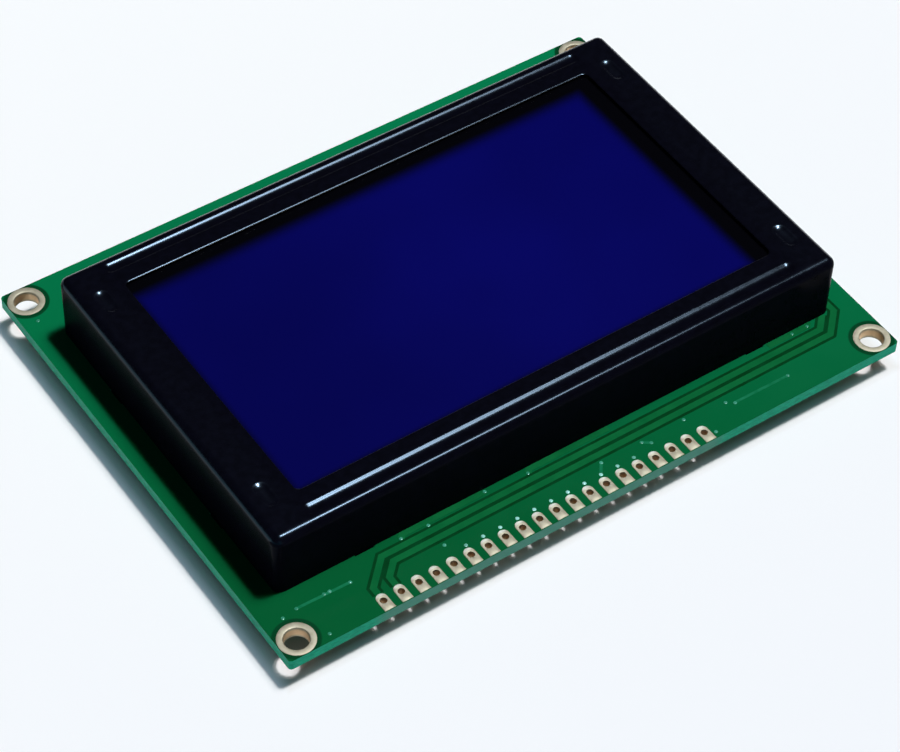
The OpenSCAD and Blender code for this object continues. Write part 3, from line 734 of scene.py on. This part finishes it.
# %% [markdown]
# A via is a small plated hole under the mask, which covers it as a low dome. The row of domes behind the
# header glints most, and that glint is painted: the colour runs from pale to green with the distance from
# the middle of that row, counted several times over across it. A sphere flattened along Z and sunk to its
# middle gives a dome with very few faces.

# %% Vias
VIA_R, VIA_H = 0.27, 0.07
ROW_X, ROW_Y, STRETCH = -7, -31.85, 8
GLINT_FROM, GLINT_TO = 7, 16
STUB_PADS = range(5, 16)

via_mask, tree, shader, place = new_finish("via_mask")
cloud = noise(tree, place, 1.5, 2)
dim = ramp(tree, cloud, (0.3, (0.02, 0.22, 0.12)), (0.7, (0.06, 0.36, 0.24)))
stretched = combine(tree, "MULTIPLY", place, (1, STRETCH, 0))
away = combine(tree, "DISTANCE", stretched, (ROW_X * MM, ROW_Y * STRETCH * MM, 0))
# Painted glint: paler towards the middle of the row behind the header.
painted_glint = span(tree, away, GLINT_FROM * MM, GLINT_TO * MM, 1, 0)
fill(tree, shader, {"Base Color": blend(tree, painted_glint, dim, (0.34, 0.78, 0.7)), "Roughness": 0.16,
                    "Coat Weight": 0.5})

pad_vias = [(pad_xs[i] + 0.3, ROW_Y) for i in STUB_PADS]
loose_vias = [(-43.7, -29.05), (-40.3, -34.0), (-41.6, -28.7), (-37.7, -28.7), (-36.9, -28.7),
              (-34.1, -28.9), (-25.3, -26.7), (-21.35, -26.8), (-21.45, -30.4), (-12.6, -26.2),
              (-6.4, -26.7), (2.2, -30.3), (8.4, -30.4), (9.4, -31.1), (15.1, -30.3), (17.3, -34.1),
              (21.3, -30.9), (22.3, -31.6), (30.8, -31.65), (35.8, -26.3), (38.3, -26.3), (-44.4, 28.7)]
bm = bmesh.new()
domes = [(x, y, board_top) for x, y in pad_vias + loose_vias]
domes += [(x, y, board_bottom) for x, y in loose_vias + stub_ends]
for dome in domes:
    squash = Matrix.Translation(dome) @ Matrix.Diagonal((1, 1, VIA_H / VIA_R, 1))
    bmesh.ops.create_uvsphere(bm, u_segments=12, v_segments=8, radius=VIA_R, matrix=squash)
add_piece("vias", bm, via_mask, sharp=80)

# %% [markdown]
# Pads and barrels are one plated skin: a pad on each face of the board and a tube through the hole. The
# finish is pale gold with the slightly grainy surface of plated copper. Inside the header holes a brownish
# painted shade darkens it, inside the mounting holes it is painted lighter, and a painted highlight whitens
# the round tips of the header pads. A section spun round the hole's axis gives the round mounting pads, and
# the bevelled rims catch the lamp.

# %% Plating finish
GOLDS = ((0.3, (0.42, 0.385, 0.285)), (0.7, (0.5, 0.475, 0.375)))
TIP_HIGHLIGHT, TIP_HIGHLIGHT_SHARE = (0.95, 1, 0.92), 0.85
PIN_BARREL_SHADE, MOUNT_BARREL_LIGHT = (0.62, 0.4, 0.22), (0.85, 0.62, 0.38)
ROW_END, MOUNT_START = 36, 38
BARREL_FADE = 0.5

gold_plating, tree, shader, place = new_finish("gold_plating")
parts = axes(tree, place)
grain = noise(tree, place, 0.5, 4)
across = compute(tree, "ABSOLUTE", parts["X"])
in_row = span(tree, across, ROW_END * MM, MOUNT_START * MM, 1, 0)
past_row = span(tree, across, ROW_END * MM, MOUNT_START * MM)
# Painted highlight on the round tips of the header pads.
tip = span(tree, parts["Y"], (PAD_Y + 0.5) * MM, (PAD_Y + 1) * MM, 0, TIP_HIGHLIGHT_SHARE)
gold = blend(tree, compute(tree, "MULTIPLY", tip, in_row), ramp(tree, grain, *GOLDS), TIP_HIGHLIGHT)
below_top = span(tree, parts["Z"], (board_top - BARREL_FADE) * MM, board_top * MM, 1, 0)
above_bottom = span(tree, parts["Z"], board_bottom * MM, (board_bottom + BARREL_FADE) * MM)
inside = compute(tree, "MULTIPLY", below_top, above_bottom)
# Painted shade inside the header holes, painted light inside the mounting holes.
painted_barrel = blend(tree, past_row, PIN_BARREL_SHADE, MOUNT_BARREL_LIGHT)
fill(tree, shader, {"Base Color": blend(tree, inside, gold, painted_barrel), "Metallic": 0.85,
                    "Roughness": span(tree, grain, 0.3, 0.7, 0.5, 0.62)})
emboss(tree, shader, noise(tree, place, 0.2, 2), 0.004)
print("plating ready")

# %% Mounting pads
PAD_T = 0.06
HOLE_R, BORE_R, MOUNT_PAD_R = 1.6, 1.7, 2.45
RIM_OUTER, RIM_INNER = 0.045, 0.14
pad_top, pad_bottom = board_top + PAD_T, board_bottom - PAD_T


def ring_edges(bm, middle, radius, levels):
    """Edges that lie on a circle of this radius, at one of the levels."""
    def on_ring(vert):
        away = hypot(vert.co.x - middle[0], vert.co.y - middle[1])
        return abs(away - radius) < 1e-3 and any(abs(vert.co.z - z) < 1e-4 for z in levels)
    return [edge for edge in bm.edges
            if all(on_ring(v) for v in edge.verts) and abs(edge.verts[0].co.z - edge.verts[1].co.z) < 1e-4]


section = [(HOLE_R, pad_top), (MOUNT_PAD_R, pad_top), (MOUNT_PAD_R, board_top), (BORE_R, board_top),
           (BORE_R, board_bottom), (MOUNT_PAD_R, board_bottom), (MOUNT_PAD_R, pad_bottom),
           (HOLE_R, pad_bottom)]
for count, (side_x, side_y) in enumerate(((-1, -1), (1, -1), (-1, 1), (1, 1)), 1):
    middle = (side_x * MOUNT_X, side_y * MOUNT_Y)
    bm = bmesh.new()
    corners = [bm.verts.new((middle[0] + r, middle[1], z)) for r, z in section]
    outline = [bm.edges.new(pair) for pair in zip(corners, corners[1:] + corners[:1])]
    bmesh.ops.spin(bm, geom=corners + outline, cent=(*middle, 0), axis=(0, 0, 1), angle=2 * pi, steps=64,
                   use_merge=True)
    bmesh.ops.recalc_face_normals(bm, faces=bm.faces)
    round_edges(bm, ring_edges(bm, middle, MOUNT_PAD_R, (pad_top, pad_bottom)), RIM_OUTER, 3)
    round_edges(bm, ring_edges(bm, middle, HOLE_R, (pad_top, pad_bottom)), RIM_INNER, 4)
    add_piece(f"plated_mount_{count}", bm, gold_plating, [f"mounting_pad_{count}"])

# %% [markdown]
# A header pad is round behind its hole and runs straight to the board's front edge, so it can't be spun.
# Its outline is half a circle, spun from one vertex and closed by three straight runs. The skin then grows
# from that outline loop by loop: inwards to the hole and down the barrel, and down the pad's side and
# under it to the drilled bore. The lower half is the mirror image of the upper one.

# %% Header pads: one outline
PIN_HOLE_R, PIN_BORE_R, PIN_PAD_R = 0.46, 0.6, 0.77
PIN_PAD_FRONT, PIN_PAD_BACK = 1.5, 0.36
ARC_STEPS, SIDE_CUTS, FRONT_CUTS = 16, 4, 5
PIN_RIM_OUTER, PIN_RIM_INNER = 0.045, 0.13
board_middle = (board_top + board_bottom) / 2

bm = bmesh.new()
start = bm.verts.new((PIN_PAD_R, PIN_PAD_BACK, pad_top))
half_turn = bmesh.ops.spin(bm, geom=[start], cent=(0, PIN_PAD_BACK, 0), axis=(0, 0, 1), angle=pi,
                           steps=ARC_STEPS)
end = half_turn["geom_last"][0]
sides = bmesh.ops.extrude_vert_indiv(bm, verts=[start, end])
move(bm, sides["verts"], y=-PIN_PAD_FRONT - PIN_PAD_BACK)
front = bm.edges.new(sides["verts"])
bmesh.ops.subdivide_edges(bm, edges=sides["edges"], cuts=SIDE_CUTS)
bmesh.ops.subdivide_edges(bm, edges=[front], cuts=FRONT_CUTS)
outline = bm.edges[:]
print("outline of", len(outline), "edges")


# %% Header pads: skin, rims and copies
def grow_loop(bm, edges, level, radius=None):
    """Extrude a loop to another level, and onto a circle if a radius is given."""
    grown = bmesh.ops.extrude_edge_only(bm, edges=edges)["geom"]
    verts = verts_of(grown)
    for vert in verts:
        if radius is not None:
            vert.co.xy = vert.co.xy.normalized() * radius
        vert.co.z = level
    new_edges = [item for item in grown if isinstance(item, bmesh.types.BMEdge)]
    return [edge for edge in new_edges if all(v in verts for v in edge.verts)]


def on_pad_top(edge):
    return all(abs(v.co.z - pad_top) < 1e-4 for v in edge.verts)


hole_rim = grow_loop(bm, outline, pad_top, PIN_HOLE_R)
grow_loop(bm, hole_rim, board_middle)
under = grow_loop(bm, grow_loop(bm, outline, board_top), board_top, PIN_BORE_R)
grow_loop(bm, under, board_middle)
round_edges(bm, outline, PIN_RIM_OUTER, 3)
inner_rim = [edge for edge in bm.edges if edge.calc_face_angle(0) > 1 and on_pad_top(edge)]
round_edges(bm, inner_rim, PIN_RIM_INNER, 4)
flip = Matrix.Translation((0, 0, 2 * board_middle)) @ Matrix.Diagonal((1, 1, -1, 1))
lower_half = bmesh.ops.duplicate(bm, geom=bm.verts[:] + bm.edges[:] + bm.faces[:])["geom"]
bmesh.ops.transform(bm, matrix=flip, verts=verts_of(lower_half))
bmesh.ops.remove_doubles(bm, verts=bm.verts, dist=1e-4)
bmesh.ops.recalc_face_normals(bm, faces=bm.faces)
one_pad = bm.verts[:] + bm.edges[:] + bm.faces[:]
for count in range(1, PAD_COUNT):
    copied = bmesh.ops.duplicate(bm, geom=one_pad)["geom"]
    move(bm, verts_of(copied), x=count * PAD_PITCH)
move(bm, bm.verts, PAD_X0, PAD_Y)
print(sum(not edge.is_manifold for edge in bm.edges), "open edges on the header pads")
add_piece("plated_header", bm, gold_plating, ["header_pads"])

# %% [markdown]
# The back carries the driver chips and the small parts. Their shapes are right in the solids, so they only
# get finishes: dull moulded resin for the packages, tin on the leads, ochre resin for the moulded
# capacitors, and ceramic between tinned ends for the chip resistors and capacitors.


# %% Finishes for the back
def grained(name, dark, light, size_mm, roughness, depth_mm, metallic=0.0):
    """Finish with a cloudy colour, a gloss that varies with it and a fine bump."""
    finish, tree, shader, place = new_finish(name)
    grain = noise(tree, place, size_mm, 4)
    fill(tree, shader, {"Base Color": ramp(tree, grain, (0.3, dark), (0.7, light)), "Metallic": metallic,
                        "Roughness": span(tree, grain, 0.3, 0.7, roughness, roughness + 0.1)})
    emboss(tree, shader, noise(tree, place, size_mm / 3, 3), depth_mm)
    return finish


moulded_black = grained("moulded_black", (0.012, 0.012, 0.013), (0.02, 0.02, 0.022), 0.5, 0.55, 0.008)
tinned_metal = grained("tinned_metal", (0.52, 0.53, 0.55), (0.66, 0.67, 0.69), 0.4, 0.3, 0.003, 1.0)
solder = grained("solder", (0.5, 0.51, 0.52), (0.62, 0.63, 0.64), 0.6, 0.22, 0.006, 1.0)
white_plastic = grained("white_plastic", (0.78, 0.78, 0.75), (0.86, 0.86, 0.84), 2, 0.5, 0.006)
elastomer = grained("elastomer", (0.1, 0.1, 0.11), (0.16, 0.16, 0.17), 0.3, 0.7, 0.01)
led_resin = grained("led_resin", (0.75, 0.66, 0.3), (0.85, 0.76, 0.4), 0.6, 0.4, 0.004)
cell_glass = grained("cell_glass", (0.1, 0.14, 0.15), (0.13, 0.17, 0.18), 8, 0.08, 0.0002)
clear_acrylic = grained("clear_acrylic", (0.7, 0.75, 0.78), (0.78, 0.82, 0.84), 5, 0.1, 0.0004)

chips = ["left_column_driver", "row_driver", "right_column_driver", "bias_amplifier", "voltage_inverter"]
dress(moulded_black, *chips)
dress(tinned_metal, *[name + "_leads" for name in chips], "anode_pin", "cathode_pin")
dress(solder, "anode_solder", "cathode_solder")
dress(white_plastic, "backlight_frame", "reflector_film", "diffuser_film", "led_board")
dress(elastomer, "front_connector_strip", "back_connector_strip")
dress(led_resin, *[f"led_{i}" for i in range(1, 7)])
dress(cell_glass, "front_glass", "rear_glass", "rear_polarizer")
dress(clear_acrylic, "light_guide")

# %% [markdown]
# A chip resistor or capacitor is one solid in the model, so its two tinned ends are told from the ceramic
# by position. Each part's middle is known from its box, and the distance along its length switches from
# ceramic to tin at the terminal.

# %% Parts with tinned ends
TIN = (0.58, 0.59, 0.61)


def ended(name, node_name, count, dark, light, end_mm):
    """Finish for each of several nodes: a body colour, with tin on both ends of the longer side."""
    for node in [f"{node_name}_{i}" for i in range(1, count + 1)]:
        low, high = box_mm(node)
        longer = 0 if high.x - low.x > high.y - low.y else 1
        finish, tree, shader, place = new_finish(f"{name}_{node}")
        middle = (low[longer] + high[longer]) / 2 * MM
        away = compute(tree, "ABSOLUTE", compute(tree, "SUBTRACT", axes(tree, place)[longer], middle))
        switch = ((high[longer] - low[longer]) / 2 - end_mm) * MM
        is_end = span(tree, away, switch - 0.005 * MM, switch + 0.005 * MM)
        grain = noise(tree, place, 0.3, 4)
        body = ramp(tree, grain, (0.3, dark), (0.7, light))
        fill(tree, shader, {"Base Color": blend(tree, is_end, body, TIN),
                            "Metallic": span(tree, is_end, 0, 1),
                            "Roughness": span(tree, grain, 0.3, 0.7, 0.35, 0.48)})
        emboss(tree, shader, noise(tree, place, 0.12, 3), 0.004)
        dress(finish, node)


ended("resistor", "chip_resistor", 8, (0.012, 0.012, 0.014), (0.02, 0.02, 0.023), 0.4)
ended("capacitor", "chip_capacitor", 5, (0.3, 0.2, 0.11), (0.38, 0.26, 0.15), 0.4)
ended("tank", "moulded_capacitor", 2, (0.5, 0.27, 0.05), (0.6, 0.34, 0.08), 0.12)
